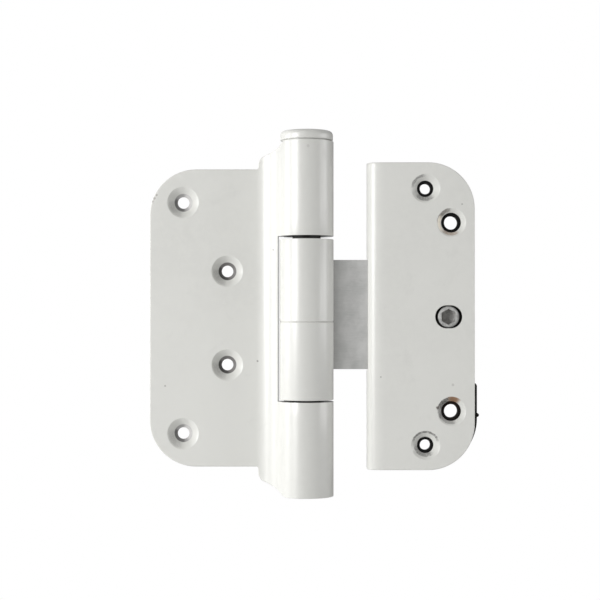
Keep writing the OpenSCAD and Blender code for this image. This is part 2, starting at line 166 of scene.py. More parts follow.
class KnuckleSizes(bpy.types.PropertyGroup):
    tongue: mm("Tongue", "Thickness of the slide plate's sheet", 2.5)
    tongue_low: mm("Tongue low", "Pin centre down to the tongue's lower edge", 17.2)
    tongue_high: mm("Tongue high", "Pin centre up to the tongue's upper edge", 20.2)
    tongue_corner: mm("Tongue corner", "Radius at the tongue's free corners", 0.6)
    roll_inner: mm("Rolled knuckle", "Radius inside the rolled knuckle", 4.77)
    roll_gap: mm("Roll gap", "Space left where the roll closes on its own sheet", 0.4)
    side_gap: mm("Side gap", "Space above and below the tongue", 0.4)
    end_round: mm("End rounding", "Rounding on the sleeves' outer edges", 0.15)
    seam: mm("Seam chamfer", "Chamfer at the seam between the sleeves", 0.3)
    groove: mm("Groove", "Radius of the cap under its head", 8.15)
    head_gap: mm("Cap gap", "Space between the barrel's end and the cap's head", 0.35)
    head_round: mm("Cap rounding", "Radius at the cap's upper edge", 1.5)
    head_under: mm("Cap lower edge", "Radius at the lower edge of the cap's head", 0.2)
    plug_chamfer: mm("Plug chamfer", "Chamfer at the cap's lower end", 0.4)
    segments: IntProperty(name="Segments", description="Facets round each turned piece", default=96,
                          min=24, max=256)


class ScrewSizes(bpy.types.PropertyGroup):
    pitch: mm("Thread pitch", "Rise of both screws' threads for each turn", 1.25)
    depth: mm("Thread depth", "Depth of the screws' threads", 0.38)
    chamfer: mm("Chamfer", "Chamfer on both screws' ends", 0.4)
    pin_chamfer: mm("Pin chamfer", "Chamfer on the pin's ends", 0.6)
    bush_chamfer: mm("Bush chamfer", "Chamfer on the bushes' outer edges", 0.4)
    insert_chamfer: mm("Insert chamfer", "Chamfer on the threaded insert's outer edges", 0.3)
    lock_flats: mm("Lock socket", "Width across flats of the lock screw's socket", 4.7)
    height_flats: mm("Height socket", "Width across flats of the height screw's socket", 4.0)
    socket_depth: mm("Socket depth", "Depth of both sockets", 3.0)


class FinishChoices(bpy.types.PropertyGroup):
    white: colour("Coat", "White powder coat", (0.665, 0.665, 0.635))
    zinc: colour("Zinc", "Zinc-plated sheet of the tongue", (0.46, 0.46, 0.45))
    steel: colour("Steel", "Plain machined steel", (0.34, 0.34, 0.33))
    # Near-black: the coating's own colour, and painted shade in the cavities seen through the cover's holes
    black: colour("Black coat", "Black coating on the spacers and the back plate", (0.004, 0.004, 0.004))
    nylon: colour("Nylon", "Natural nylon of the bushes", (0.66, 0.645, 0.58))


class StageSizes(bpy.types.PropertyGroup):
    distance: mm("Camera distance", "Camera's distance in front of the pin axis", 516.4)
    camera_x: mm("Camera side", "Camera's place along X", -2.22, low=-1.0)
    height: mm("Camera height", "Camera's height over the pin's centre", 0.3)
    view: angle("Field of view", "Camera's angle of view", 22.3)
    rise: number("Vertical shift", "Camera's shift for the framing", 0.03)
    floor_drop: mm("Floor drop", "Floor's depth under the pin's centre", 300.0)
    key: number("Key lamp", "Power of the key lamp", 9.5, unit="POWER")
    side: number("Side lamp", "Power of the side lamp", 3.4, unit="POWER")
    gleam: number("Gleam lamp", "Power of the small lamp that gleams on the barrel", 1.5, unit="POWER")
    fill: number("Fill lamp", "Power of the fill lamp", 2.9, unit="POWER")
    lamp_distance: mm("Lamp distance", "Distance from the pin's centre to each lamp", 1100.0)
    card_distance: mm("Card distance", "Distance from the pin's centre to the dark card", 400.0)
    card_turn: number("Card turn", "Degrees round from the camera to the dark card that the barrel's right "
                      "edge mirrors", 142.0)
    ambient: number("Ambient", "Strength of the light from all round", 0.24)


# ---- shader and geometry nodes

def overload(operation, before=False):
    """A method that joins a signal and another value; before puts the other value first."""
    return lambda self, other: self.maths(operation, other, before=before)


class Signal:
    """A socket that takes part in Python sums; each sum adds its Math node."""

    def __init__(self, graph, socket):
        self.graph, self.socket = graph, socket

    def maths(self, operation, *others, clamp=False, before=False):
        values = (*others, self) if before else (self, *others)
        return self.graph.node("ShaderNodeMath", {"operation": operation, "use_clamp": clamp},
                               dict(enumerate(values)))

    __add__ = __radd__ = overload("ADD")
    __mul__ = __rmul__ = overload("MULTIPLY")
    __sub__, __rsub__ = overload("SUBTRACT"), overload("SUBTRACT", before=True)
    __truediv__, __rtruediv__ = overload("DIVIDE"), overload("DIVIDE", before=True)
    larger = overload("MAXIMUM")

    def __neg__(self):
        return self.maths("MULTIPLY", -1.0)

    def __abs__(self):
        return self.maths("ABSOLUTE")

    def clipped(self):
        return self.maths("ADD", 0.0, clamp=True)

    def rise(self, start, end):
        """0 below start, 1 above end, smooth in between; start may be the larger."""
        low, high = (1.0, 0.0) if start > end else (0.0, 1.0)
        return self.graph.node("ShaderNodeMapRange", {"interpolation_type": "SMOOTHSTEP"},
                               {"Value": self, "From Min": min(start, end), "From Max": max(start, end),
                                "To Min": low, "To Max": high})


class Graph:
    """A node tree under construction."""

    def __init__(self, tree):
        self.tree = tree

    def fill(self, socket, value):
        """Links a signal to a socket, or gives the socket a plain value."""
        if isinstance(value, Signal):
            self.tree.links.new(value.socket, socket)
        else:
            socket.default_value = value

    def node(self, kind, settings=None, inputs=None, out=0):
        """Any node: its type, its settings, and the values or links of its sockets."""
        made = self.tree.nodes.new(kind)
        for key, value in (settings or {}).items():
            setattr(made, key, value)
        for key, value in (inputs or {}).items():
            self.fill(made.inputs[key], value)
        return Signal(self, made.outputs[out])

    def apart(self, vector):
        """The three parts of a vector."""
        made = self.node("ShaderNodeSeparateXYZ", None, {0: vector}).socket.node
        return [Signal(self, part) for part in made.outputs]

    def together(self, *parts):
        return self.node("ShaderNodeCombineXYZ", None, dict(enumerate(parts)))


class Finish(Graph):
    """A material under construction, with its Principled shader."""

    def __init__(self, name, **constants):
        self.material = bpy.data.materials.new(name)
        self.material.use_nodes = True
        super().__init__(self.material.node_tree)
        self.shader = self.tree.nodes["Principled BSDF"]
        for socket, value in constants.items():
            self.shader.inputs[socket.replace("_", " ")].default_value = value
        self.place = self.node("ShaderNodeTexCoord", out="Object")
        self.x, self.y, self.z = self.apart(self.place)

    def link(self, socket, signal):
        self.tree.links.new(signal.socket, self.shader.inputs[socket])

    def done(self, shade, rough, height, relief):
        """Links colour, roughness and a bump of that relief, and gives the material."""
        self.link("Base Color", shade)
        self.link("Roughness", rough.clipped())
        self.link("Normal", self.node("ShaderNodeBump", None, {"Height": height, "Distance": relief}))
        return self.material

    def noise(self, scale, detail=3.0, rough=0.55, warp=0.0):
        """Noise at one scale, or at one for each axis."""
        at = self.place
        if isinstance(scale, tuple):
            at, scale = self.node("ShaderNodeMapping", None, {"Vector": at, "Scale": scale}), 1.0
        return self.node("ShaderNodeTexNoise", None, {"Vector": at, "Scale": scale, "Detail": detail,
                                                      "Roughness": rough, "Distortion": warp})

    def spot(self, centre, radius, ragged, soft=0.25):
        """1 inside a ragged blot of that radius about a point, 0 outside."""
        off = self.node("ShaderNodeVectorMath", {"operation": "DISTANCE"}, {0: self.place, 1: centre},
                        "Value")
        return (off + ragged * radius).rise(radius * (1 + soft), radius * (1 - soft))

    def sector(self, hole, near, far, turn=None, spread=0.0, ragged=0.0, soft=0.12 * MM):
        """1 on a band round a hole, from radius near to far; turn and spread, in degrees, limit it."""
        dx, dz = self.x - hole[0], self.z - hole[1]
        away = (dx * dx + dz * dz).maths("SQRT") + ragged
        band = away.rise(near - soft, near + soft) * away.rise(far + soft, far - soft)
        if turn is None:
            return band
        a = math.radians(turn)
        along = (dx * math.cos(a) + dz * math.sin(a)) / away.larger(1e-5)
        wide, slim = math.radians(min(178, spread + 16)), math.radians(max(2, spread - 12))
        return band * along.rise(math.cos(wide), math.cos(slim))

    def mix(self, mask, first, second):
        """Colour first where mask is 0, second where it is 1."""
        first, second = (value if isinstance(value, Signal) else (*value, 1.0) for value in (first, second))
        return self.node("ShaderNodeMix", {"data_type": "RGBA"}, {0: mask, 6: first, 7: second}, 2)


def scaled(shade, factor):
    return tuple(min(1.0, c * factor) for c in shade)


# ---- finishes

def white_coat(name, white, chips=(), stains=(), shade_at=None, light=None):
    """Powder coat with a light orange peel, dull patches, chips and stains, and painted shade and light.

    chips are (x, y, z, radius, depth), in mm but for the depth. stains are (hole, near, far, turn, spread,
    colour, strength), with near and far in mm; full-strength ones have clean edges, and some are painted
    shade and painted light on a hole's sides. The last two arguments give, from a Finish, masks of
    near-black painted shade in recesses and of painted light. The barrel's front and right side are
    darkened: painted shade.
    """
    f = Finish(name, IOR=1.5)
    cloud = f.noise(22.0)
    fine = f.noise(420.0, 4.0, 0.6)
    grain = f.noise(2600.0, 2.0, 0.6)
    shade = f.mix(cloud.rise(0.32, 0.68), scaled(white, 0.972), scaled(white, 1.022))
    shade = f.mix(fine.rise(0.35, 0.7) * 0.5, shade, scaled(white, 1.03))
    smudge = f.noise(95.0, 5.0, 0.62, warp=0.6).rise(0.58, 0.74) * 0.2
    shade = f.mix(smudge, shade, scaled(white, 0.80))
    rough = 0.27 + fine * 0.08 + smudge * 0.5
    height = f.noise(760.0, 2.0, 0.5) * 0.8 + grain * 0.25
    ragged = (f.noise(1500.0, 4.0, 0.7) - 0.5) * 0.9
    torn = (f.noise(900.0, 3.0, 0.6) - 0.5) * (0.7 * MM)
    speckle = f.noise(1900.0, 3.0, 0.6).rise(0.36, 0.56)
    for hole, near, far, turn, spread, tint, strength in stains:
        solid = strength > 0.9
        mask = f.sector(hole, near * MM, far * MM, turn, spread, 0.0 if solid else torn)
        mask = mask if solid else mask * (0.45 + speckle * 0.55) * strength
        shade = f.mix(mask, shade, tint)
        rough = rough + mask * 0.22
    # Painted shade: darker over the barrel's front and right side
    barrel = f.y.rise(2.0 * MM, 0.0) * f.x.rise(-6.5 * MM, -2.0 * MM)
    shade = f.mix(barrel * 0.5, shade, scaled(white, 0.82))
    # Painted light: lighter where the light mask gives
    if light:
        shade = f.mix(light(f), shade, (0.92, 0.92, 0.88))
    # Painted shade: near-black in the recesses that the other mask gives
    if shade_at:
        shade = f.mix(shade_at(f), shade, (0.014, 0.013, 0.012))
    for *centre, radius, depth in chips:
        chip = f.spot([c * MM for c in centre], radius * MM, ragged) * depth
        shade = f.mix(chip, shade, (0.11, 0.095, 0.08))
        height = height - chip * 2.0
    return f.done(shade, rough, height, 0.012 * MM)


def zinc_sheet(name, zinc, shade_at):
    """Zinc plate with fine rolling-direction lines, dull blotches, and painted shade by the barrel and
    round a hole.
    """
    f = Finish(name, IOR=1.5)
    lines = f.noise((240.0, 240.0, 5200.0), 3.0, 0.6)
    blotch = f.noise(160.0, 4.0, 0.6)
    shade = f.mix(blotch.rise(0.3, 0.72), scaled(zinc, 0.86), scaled(zinc, 1.12))
    shade = f.mix(lines.rise(0.3, 0.75) * 0.35, shade, scaled(zinc, 1.25))
    # Painted shade: darker towards the barrel, whose shadow falls there
    shade = f.mix(f.x.rise(15.0 * MM, 9.0 * MM) * 0.5, shade, scaled(zinc, 0.5))
    # Painted shade: near-black and less metallic round the lock hole, in the gap that the cover's slot
    # shows
    gap_shade = f.sector(shade_at, 0.0, 6.2 * MM)
    f.link("Metallic", 0.75 - gap_shade * 0.6)
    return f.done(f.mix(gap_shade, shade, (0.01, 0.0095, 0.009)),
                  0.44 + blotch * 0.12 - lines * 0.06 + gap_shade * 0.35, lines, 0.006 * MM)


def machined_steel(name, steel):
    """Plain steel with turning marks round its axis and a light oil stain."""
    f = Finish(name, Metallic=0.85, IOR=1.5)
    marks = f.noise((500.0, 500.0, 4200.0), 2.0, 0.6)
    stain = f.noise(520.0, 4.0, 0.65)
    shade = f.mix(stain.rise(0.38, 0.7), scaled(steel, 0.72), scaled(steel, 1.12))
    return f.done(f.mix(marks.rise(0.3, 0.8) * 0.3, shade, scaled(steel, 1.3)), 0.34 + stain * 0.2,
                  marks, 0.006 * MM)


def pin_shade_steel(name, steel):
    """Pin steel painted near-black: painted shade for the gaps between the knuckles, where the pin shows.
    """
    f = Finish(name, Metallic=0.2, IOR=1.45, Specular_IOR_Level=0.25)
    mottle = f.noise(260.0, 4.0, 0.6, warp=0.4)
    # Painted shade: near-black so that the gaps between the knuckles look dark
    return f.done(f.mix(mottle.rise(0.4, 0.7), (0.03, 0.028, 0.025), scaled(steel, 0.25)),
                  0.5 + mottle * 0.25, mottle, 0.01 * MM)


def screw_steel(name, steel, centre, socket):
    """Dull steel of the lock screw, near-black round its edge as painted shade, and worn bright in its
    socket.
    """
    f = Finish(name, IOR=1.5, Metallic=0.4)
    stain = f.noise(700.0, 4.0, 0.65)
    shade = f.mix(stain.rise(0.34, 0.68), scaled(steel, 1.25 * 0.62), scaled(steel, 1.25 * 1.05))
    # Painted shade: near-black round the screw's edge, in the slot's gap
    gap_shade = f.sector(centre, 3.65 * MM, 6.0 * MM)
    worn = f.sector(centre, 0.0, socket * 1.08)
    bright = f.mix(stain.rise(0.4, 0.6), (0.3, 0.295, 0.285), (0.48, 0.47, 0.455))
    shade = f.mix(worn * 0.8, shade, bright)
    return f.done(f.mix(gap_shade, shade, (0.012, 0.011, 0.01)), 0.5 + stain * 0.12 + worn * 0.3,
                  f.noise(900.0), 0.012 * MM)


def black_coat(name, black):
    """Dull black coating, greasy brown in places, near-black enough to stand in as painted shade in the
    cover's holes.
    """
    f = Finish(name, IOR=1.45, Specular_IOR_Level=0.13)
    peel = f.noise(620.0)
    worn = f.noise(130.0, 5.0, 0.66).rise(0.60, 0.8) * 0.5
    greasy = f.noise(70.0, 3.0, 0.6).rise(0.5, 0.72)
    shade = f.mix(greasy * 0.6, black, (0.014, 0.007, 0.004))
    return f.done(f.mix(worn, shade, (0.024, 0.023, 0.022)), 0.58 + peel * 0.15 - worn * 0.15,
                  peel, 0.014 * MM)


def natural_nylon(name, nylon):
    """Waxy moulded nylon with a faint mould texture."""
    f = Finish(name, IOR=1.53)
    shade = f.mix(f.noise(140.0).rise(0.3, 0.7), scaled(nylon, 0.93), scaled(nylon, 1.05))
    return f.done(shade, 0.46 + f.noise(900.0, 2.0) * 0.12, f.noise(1300.0, 2.0), 0.008 * MM)


# ---- sheet pieces

def arc(centre, radius, start, end, steps):
    """Points on an arc, both ends included; angles in degrees."""
    turns = [math.radians(start + (end - start) * i / steps) for i in range(steps + 1)]
    return [(centre[0] + radius * math.cos(a), centre[1] + radius * math.sin(a)) for a in turns]


def tidy_loop(points, tiny=0.01 * MM):
    """The loop without points that fall on the next one."""
    return [p for i, p in enumerate(points) if math.dist(p, points[(i + 1) % len(points)]) > tiny]


def inset_loop(points, by, ease=None):
    """An anticlockwise loop moved inwards, with mitred corners; ease scales the step at a point."""
    moved = []
    for i, (x, z) in enumerate(points):
        ax, az = points[i - 1]
        bx, bz = points[(i + 1) % len(points)]
        before = Vector((x - ax, z - az)).normalized()
        after = Vector((bx - x, bz - z)).normalized()
        n1, n2 = Vector((-before.y, before.x)), Vector((-after.y, after.x))
        step = (n1 + n2) / max(0.3, 1 + n1.dot(n2)) * (ease(x, z) if ease else 1.0)
        moved.append((x + by * step.x, z + by * step.y))
    return moved


def oblong(centre, radius, half_straight, steps=24):
    """An anticlockwise loop of two half circles, half_straight apart from the centre each."""
    x, z = centre
    right = arc((x + half_straight, z), radius, -90, 90, steps)
    left = arc((x - half_straight, z), radius, 90, 270, steps)
    return right + left if half_straight else right[:-1] + left[:-1]


def edge_profile(thick, front, back, steps=4):
    """(inset, depth) down the outer edge of a sheet, rounded at both faces."""
    turns = [math.radians(90 * i / steps) for i in range(steps + 1)]
    rim = [(front * (1 - math.sin(a)), front * (1 - math.cos(a))) for a in turns]
    rim += [(back * (1 - math.cos(a)), thick - back * (1 - math.sin(a))) for a in turns]
    return [(front + EDGE_STRIP, 0.0), *rim, (back + EDGE_STRIP, thick)]


def hole_profile(sink, neck, bore, thick, rim=0.14 * MM, land=0.5 * MM, lip=0.12 * MM):
    """(radius, depth) down a countersunk hole: soft rim, cone, steeper inner cone, bore."""
    foot = sink - neck
    steps = [(sink + 0.35 * MM, 0.0), (sink + rim, 0.0), (sink + 0.3 * rim, 0.12 * rim),
             (sink - 0.6 * rim, 0.75 * rim), (neck + 0.05 * MM, foot - 0.05 * MM), (neck, foot)]
    if bore < neck:
        steps.append((bore, thick - land))
    return steps + [(bore, thick - lip), (bore + 0.1 * MM, thick), (bore + 0.3 * MM, thick)]


def plain_profile(radius, thick, rim=0.1 * MM):
    """(radius, depth) down a plain hole with both rims rounded."""
    front = [(radius + 0.3 * MM, 0.0), (radius + rim, 0.0), (radius + 0.3 * rim, 0.3 * rim), (radius, rim)]
    return front + [(r, thick - depth) for r, depth in reversed(front)]


def blank(outline, rim, holes, ease=None):
    """A closed flat sheet as a bmesh in (run, depth, z). holes are (centre, half_straight, profile)."""
    bm = bmesh.new()
    bounds = [], []

    def wall(loops):
        """Faces down (points, depth) loops; the first and the last loop bound the sheet's two faces."""
        rings = [[bm.verts.new((run, depth, z)) for run, z in points] for points, depth in loops]
        for near, far in zip(rings, rings[1:]):
            for i in range(len(near)):
                j = (i + 1) % len(near)
                bm.faces.new((near[i], near[j], far[j], far[i]))
        bounds[0].append(rings[0])
        bounds[1].append(rings[-1])

    wall([(inset_loop(outline, inset, ease), depth) for inset, depth in rim])
    for centre, half_straight, profile in holes:
        wall([(oblong(centre, radius, half_straight), depth) for radius, depth in profile])
    for loops in bounds:
        edges = [bm.edges.get(pair) for loop in loops for pair in zip(loop, loop[1:] + loop[:1])]
        bmesh.ops.triangle_fill(bm, use_beauty=True, use_dissolve=False, edges=edges)
    return bm


def bent(bm, cuts, place):
    """Cuts a blank at every run in cuts, then moves each vertex by place(run, depth, z)."""
    for run in cuts:
        everything = bm.verts[:] + bm.edges[:] + bm.faces[:]
        bmesh.ops.bisect_plane(bm, geom=everything, dist=1e-7, plane_co=(run, 0, 0), plane_no=(1, 0, 0))
    for v in bm.verts:
        v.co = place(*v.co)
    return bm


def runs(start, stop, count):
    """Where a sheet is cut between two runs along it, without the last."""
    return [start + (stop - start) * i / count for i in range(count)]


def as_object(bm, name, material=None):
    """The bmesh as an object in the scene, at the origin."""
    mesh = bpy.data.meshes.new(name)
    bm.to_mesh(mesh)
    bm.free()
    if material:
        mesh.materials.append(material)
    made = bpy.data.objects.new(name, mesh)
    bpy.context.scene.collection.objects.link(made)
    return made


def shaded(mesh):
    """Smooth shading, but for the sharp edges."""
    for face in mesh.polygons:
        face.use_smooth = True
    mesh.set_sharp_from_angle(angle=SHARP)
    return mesh


def finished(bm, name, material):
    """The bmesh as a smooth-shaded object with outward faces."""
    bmesh.ops.remove_doubles(bm, verts=bm.verts[:], dist=WELD)
    bmesh.ops.recalc_face_normals(bm, faces=bm.faces[:])
    made = as_object(bm, name, material)
    shaded(made.data)
    return made


def applied(obj):
    """The mesh that obj's modifiers make; the modifiers go."""
    graph = bpy.context.evaluated_depsgraph_get()
    graph.update()
    mesh = bpy.data.meshes.new_from_object(obj.evaluated_get(graph), depsgraph=graph)
    obj.modifiers.clear()
    return mesh


def sheet(name, finish, outline, rim, holes, cuts, place, ease=None):
    """A flat blank with its holes, cut across and bent, as a finished object."""
    return finished(bent(blank(tidy_loop(outline), rim, holes, ease), cuts, place), name, PALETTE[finish])


def discard(obj):
    mesh = obj.data
    bpy.data.objects.remove(obj)
    bpy.data.meshes.remove(mesh)


def carved(obj, low, high, on_rim=None, soften=0.0):
    """Cuts a box out of obj, then rounds the edges with both ends where on_rim says."""
    bm = bmesh.new()
    bmesh.ops.create_cube(bm, size=1.0)
    for v in bm.verts:
        v.co = [low[i] if v.co[i] < 0 else high[i] for i in range(3)]
    tool = as_object(bm, "cutter")
    cut = obj.modifiers.new("cut", "BOOLEAN")
    cut.operation, cut.solver, cut.object = "DIFFERENCE", "EXACT", tool
    result = applied(obj)
    discard(tool)
    bm = bmesh.new()
    bm.from_mesh(result)
    bmesh.ops.remove_doubles(bm, verts=bm.verts[:], dist=WELD)
    bmesh.ops.dissolve_degenerate(bm, edges=bm.edges[:], dist=1e-7)
    if on_rim:
        picked = [e for e in bm.edges if len(e.link_faces) == 2 and e.calc_face_angle(0) > 0.9
                  and all(on_rim(v.co) for v in e.verts)]
        bmesh.ops.bevel(bm, geom=picked, offset=soften, segments=3, profile=0.5, affect="EDGES",
                        clamp_overlap=True)
    bm.to_mesh(result)
    bm.free()
    obj.data = shaded(result)


# ---- turned and threaded pieces

def turning_tree():
    """Revolves a profile, drawn as edges in the XZ plane, about the Z axis.

    The profile's points carry two attributes: hex draws a ring out to a hexagon of that inner radius, and
    thread cuts a right-handed thread into the wall (-1) or out of a bore (1).
    """
    tree = bpy.data.node_groups.new("turned_piece", "GeometryNodeTree")
    for label, kind in (("Geometry", "NodeSocketGeometry"), ("Segments", "NodeSocketInt"),
                        ("Pitch", "NodeSocketFloat"), ("Thread depth", "NodeSocketFloat")):
        tree.interface.new_socket(label, in_out="INPUT", socket_type=kind)
    tree.interface.new_socket("Geometry", in_out="OUTPUT", socket_type="NodeSocketGeometry")
    g = Graph(tree)

    def given(name):
        return g.node("NodeGroupInput", out=name)

    def carried(name):
        return g.node("GeometryNodeInputNamedAttribute", {"data_type": "FLOAT"}, {"Name": name},
                      "Attribute")

    def moved(shape, *place):
        return g.node("GeometryNodeSetPosition", None, {"Geometry": shape, "Position": g.together(*place)})

    section = g.node("GeometryNodeMeshToCurve", None, {"Mesh": given("Geometry")})
    lathe = g.node("GeometryNodeCurvePrimitiveCircle", {"mode": "RADIUS"},
                   {"Resolution": given("Segments"), "Radius": 1.0})
    upright = g.node("GeometryNodeSetCurveNormal", {"mode": "Z_UP"}, {"Curve": lathe})
    # The section has its radius along X and its height along Z; a swept one wants them along X and Y
    x, y, z = g.apart(g.node("GeometryNodeInputPosition"))
    swept = g.node("GeometryNodeCurveToMesh", None,
                   {"Curve": upright, "Profile Curve": moved(section, x - 1.0, -z, 0.0),
                    "Fill Caps": False})
    turn, radius = y.maths("ARCTAN2", x), (x * x + y * y).maths("SQRT").larger(1e-6)
    flats = 1.0 / turn.maths("WRAP", math.pi / 6, -math.pi / 6).maths("COSINE")
    phase = z / given("Pitch") - turn * (0.5 / math.pi)
    groove = (phase * 2.0).maths("PINGPONG", 1.0) * given("Thread depth")
    grow = (flats - 1.0) * carried("hex") + 1.0 + groove * carried("thread") / radius
    welded = g.node("GeometryNodeMergeByDistance", None,
                    {"Geometry": moved(swept, x * grow, y * grow, z), "Distance": WELD})
    g.fill(tree.nodes.new("NodeGroupOutput").inputs[0], welded)


def turned(name, profile, material):
    """(bmesh, name, material) of a piece turned about the pin axis from (radius, z[, hex[, thread]]).

    The profile is closed, or starts and ends on the axis.
    """
    scene = bpy.context.scene
    base = bpy.data.meshes.new(name + "_profile")
    on_axis = profile[0][0] < 1e-9 and profile[-1][0] < 1e-9
    edges = [(i, (i + 1) % len(profile)) for i in range(len(profile) - on_axis)]
    base.from_pydata([(p[0], 0, p[1]) for p in profile], edges, [])
    for place, key in ((2, "hex"), (3, "thread")):
        values = base.attributes.new(key, "FLOAT", "POINT").data
        for i, p in enumerate(profile):
            values[i].value = p[place] if len(p) > place else 0.0
    carrier = bpy.data.objects.new(name + "_base", base)
    scene.collection.objects.link(carrier)
    step = carrier.modifiers.new("nodes", "NODES")
    step.node_group = bpy.data.node_groups["turned_piece"]
    given = {"Segments": scene.hinge_knuckle.segments, "Pitch": scene.hinge_screw.pitch,
             "Thread depth": scene.hinge_screw.depth}
    for item in step.node_group.interface.items_tree:
        if item.name in given:
            step[item.identifier] = given[item.name]
    mesh = applied(carrier)
    discard(carrier)
    bm = bmesh.new()
    bm.from_mesh(mesh)
    bpy.data.meshes.remove(mesh)
    return bm, name, material


def faded(i, steps):
    """How deep a thread is at step i: it runs in and out over six steps."""
    return min(1.0, i / 6, (steps - i) / 6)


def screw_profile(radius, length, flats, sizes):
    """Profile of a set screw from z = 0, where its socket is, up to its flat end."""
    half, depth, chamfer = flats / 2, sizes.socket_depth, sizes.chamfer
    points = [(0.0, depth + 0.5 * MM), (half * 0.55, depth + 0.16 * MM), (half * 0.97, depth, 0.92),
              (half, depth - 0.1 * MM, 0.95), (half, 0.16 * MM, 0.95), (half + 0.12 * MM, 0.0, 0.8),
              (radius - chamfer - 0.1 * MM, 0.0), (radius - chamfer, 0.06 * MM),
              (radius - 0.03 * MM, chamfer)]
    steps = round((length - 2 * chamfer) / (sizes.pitch / 10))
    points += [(radius, chamfer + (length - 2 * chamfer) * i / steps, 0.0, -faded(i, steps))
               for i in range(1, steps)]
    return points + [(radius, length - chamfer), (radius - chamfer, length), (0.0, length)]


def ring_profile(inner, outer, low, high, chamfer):
    """Profile of a ring, chamfered at its outer and, half as much, at its inner edges."""
    c, d = chamfer, chamfer / 2
    return [(inner + d, low), (outer - c, low), (outer, low + c), (outer, high - c), (outer - c, high),
            (inner + d, high), (inner, high - d), (inner, low + d)]


def rounded(corner, radius, enter, leave, steps=4):
    """Points that round a profile's corner between two directions, given as unit (r, z) pairs."""
    first, last = ([c + sign * radius * d for c, d in zip(corner, way)]
                   for sign, way in ((-1, enter), (1, leave)))
    centre = [c - radius * (e - d) for c, e, d in zip(corner, enter, leave)]
    a0, a1 = (math.degrees(math.atan2(z - centre[1], r - centre[0])) for r, z in (first, last))
    return arc(centre, radius, a0, a1 + 360 * ((a1 - a0 < -180) - (a1 - a0 > 180)), steps)


# ---- operators

def screw_holes(*mounts):
    """((x, z), bore radius) of each screw hole of some mounts, the lower hole of each pair first."""
    holes = []
    for mount in mounts:
        (x, _y, z), dims = MOUNTS[mount]["pos_m"], MOUNTS[mount]["dims"]
        half, bore = dims["spacing_y_mm"] * MM / 2, dims["hole_r_mm"] * MM - HOLE_TRIM
        holes += [((x, z - half), bore), ((x, z + half), bore)]
    return holes


def jamb_marks():
    """Chips and stains of the jamb leaf, as white_coat takes them; some stains are painted shade and light
    in the holes.
    """
    chips = [(-52.6, 3.6, 40.2, 0.4, 0.4), (-52.0, 3.6, 41.2, 0.45, 0.4), (-51.2, 3.6, 42.3, 0.35, 0.45),
             (-48.3, 3.6, -22.9, 0.3, 0.5), (-16.7, 3.6, -14.4, 0.35, 0.55), (-11.4, 1.2, 23.5, 0.35, 0.5),
             (0.5, -9.15, 57.7, 0.5, 0.16)]
    stains = []
    for mount, bare, lit in (("jamb_screws_outer", (0.36, 0.355, 0.35), True),
                             ("jamb_screws_inner", (0.155, 0.15, 0.145), False)):
        for hole, _bore in screw_holes(mount):
            stains += [(hole, 0.0, 3.05, None, 0.0, bare, 1.0),
                       (hole, 3.2, 4.9, 215.0, 40.0, (0.3, 0.295, 0.285), 0.35),
                       # Painted shade: each inner cone darker on its lower left side
                       (hole, 1.9, 3.02, 215.0, 62.0, scaled(bare, 0.42), 0.95)]
            # Painted light: on the outer holes the inner cone is lighter on its right side
            if lit:
                stains.append((hole, 1.9, 3.02, 15.0, 62.0, scaled(bare, 1.5), 0.95))
    return chips, stains


def cover_marks():
    """Chips and stains of the door leaf's cover, as white_coat takes them; some stains are painted shade
    and light.
    """
    end_low, end_high, mid_low, mid_high = (hole for hole, _bore in screw_holes(*DOOR_MOUNTS))
    dark, soot_and_shade = (0.07, 0.068, 0.065), (0.2, 0.195, 0.19)
    # Painted shade: the dark arcs on the upper-left rims of the countersinks (turns 92 to 138). Painted
    # highlight: the cream glint on the left of the upper middle hole (turn 186).
    stains = [(end_high, 4.1, 4.9, 135.0, 34.0, soot_and_shade, 0.8),
              (end_high, 2.7, 4.2, 265.0, 42.0, dark, 0.6),
              (end_low, 4.2, 4.9, 92.0, 66.0, dark, 0.8),
              (end_low, 2.7, 4.0, 245.0, 60.0, dark, 0.6),
              (mid_high, 3.7, 4.9, 138.0, 36.0, (0.15, 0.13, 0.11), 0.85),
              (mid_high, 3.3, 4.4, 262.0, 36.0, (0.4, 0.31, 0.24), 0.8),
              (mid_high, 3.6, 4.7, 186.0, 30.0, (1.0, 0.93, 0.8), 0.95),
              (mid_low, 3.3, 4.9, 128.0, 34.0, (0.06, 0.056, 0.05), 0.88),
              (mid_low, 3.3, 4.6, 185.0, 30.0, soot_and_shade, 0.75),
              (mid_low, 3.3, 5.0, 78.0, 18.0, (0.26, 0.15, 0.085), 0.95),
              (mid_low, 3.3, 4.4, 240.0, 44.0, soot_and_shade, 0.6)]
    x, face, z = mid_low[0] / MM, COVER_LOW.y / MM, mid_low[1] / MM
    chips = [(x - 4.7, face + 0.3, z + 1.2, 0.6, 0.9), (x + 0.5, face, z + 9.0, 0.45, 0.25),
             (25.3, face, -19.8, 0.3, 0.45), (53.0, face, 39.1, 0.3, 0.45)]
    return chips, stains


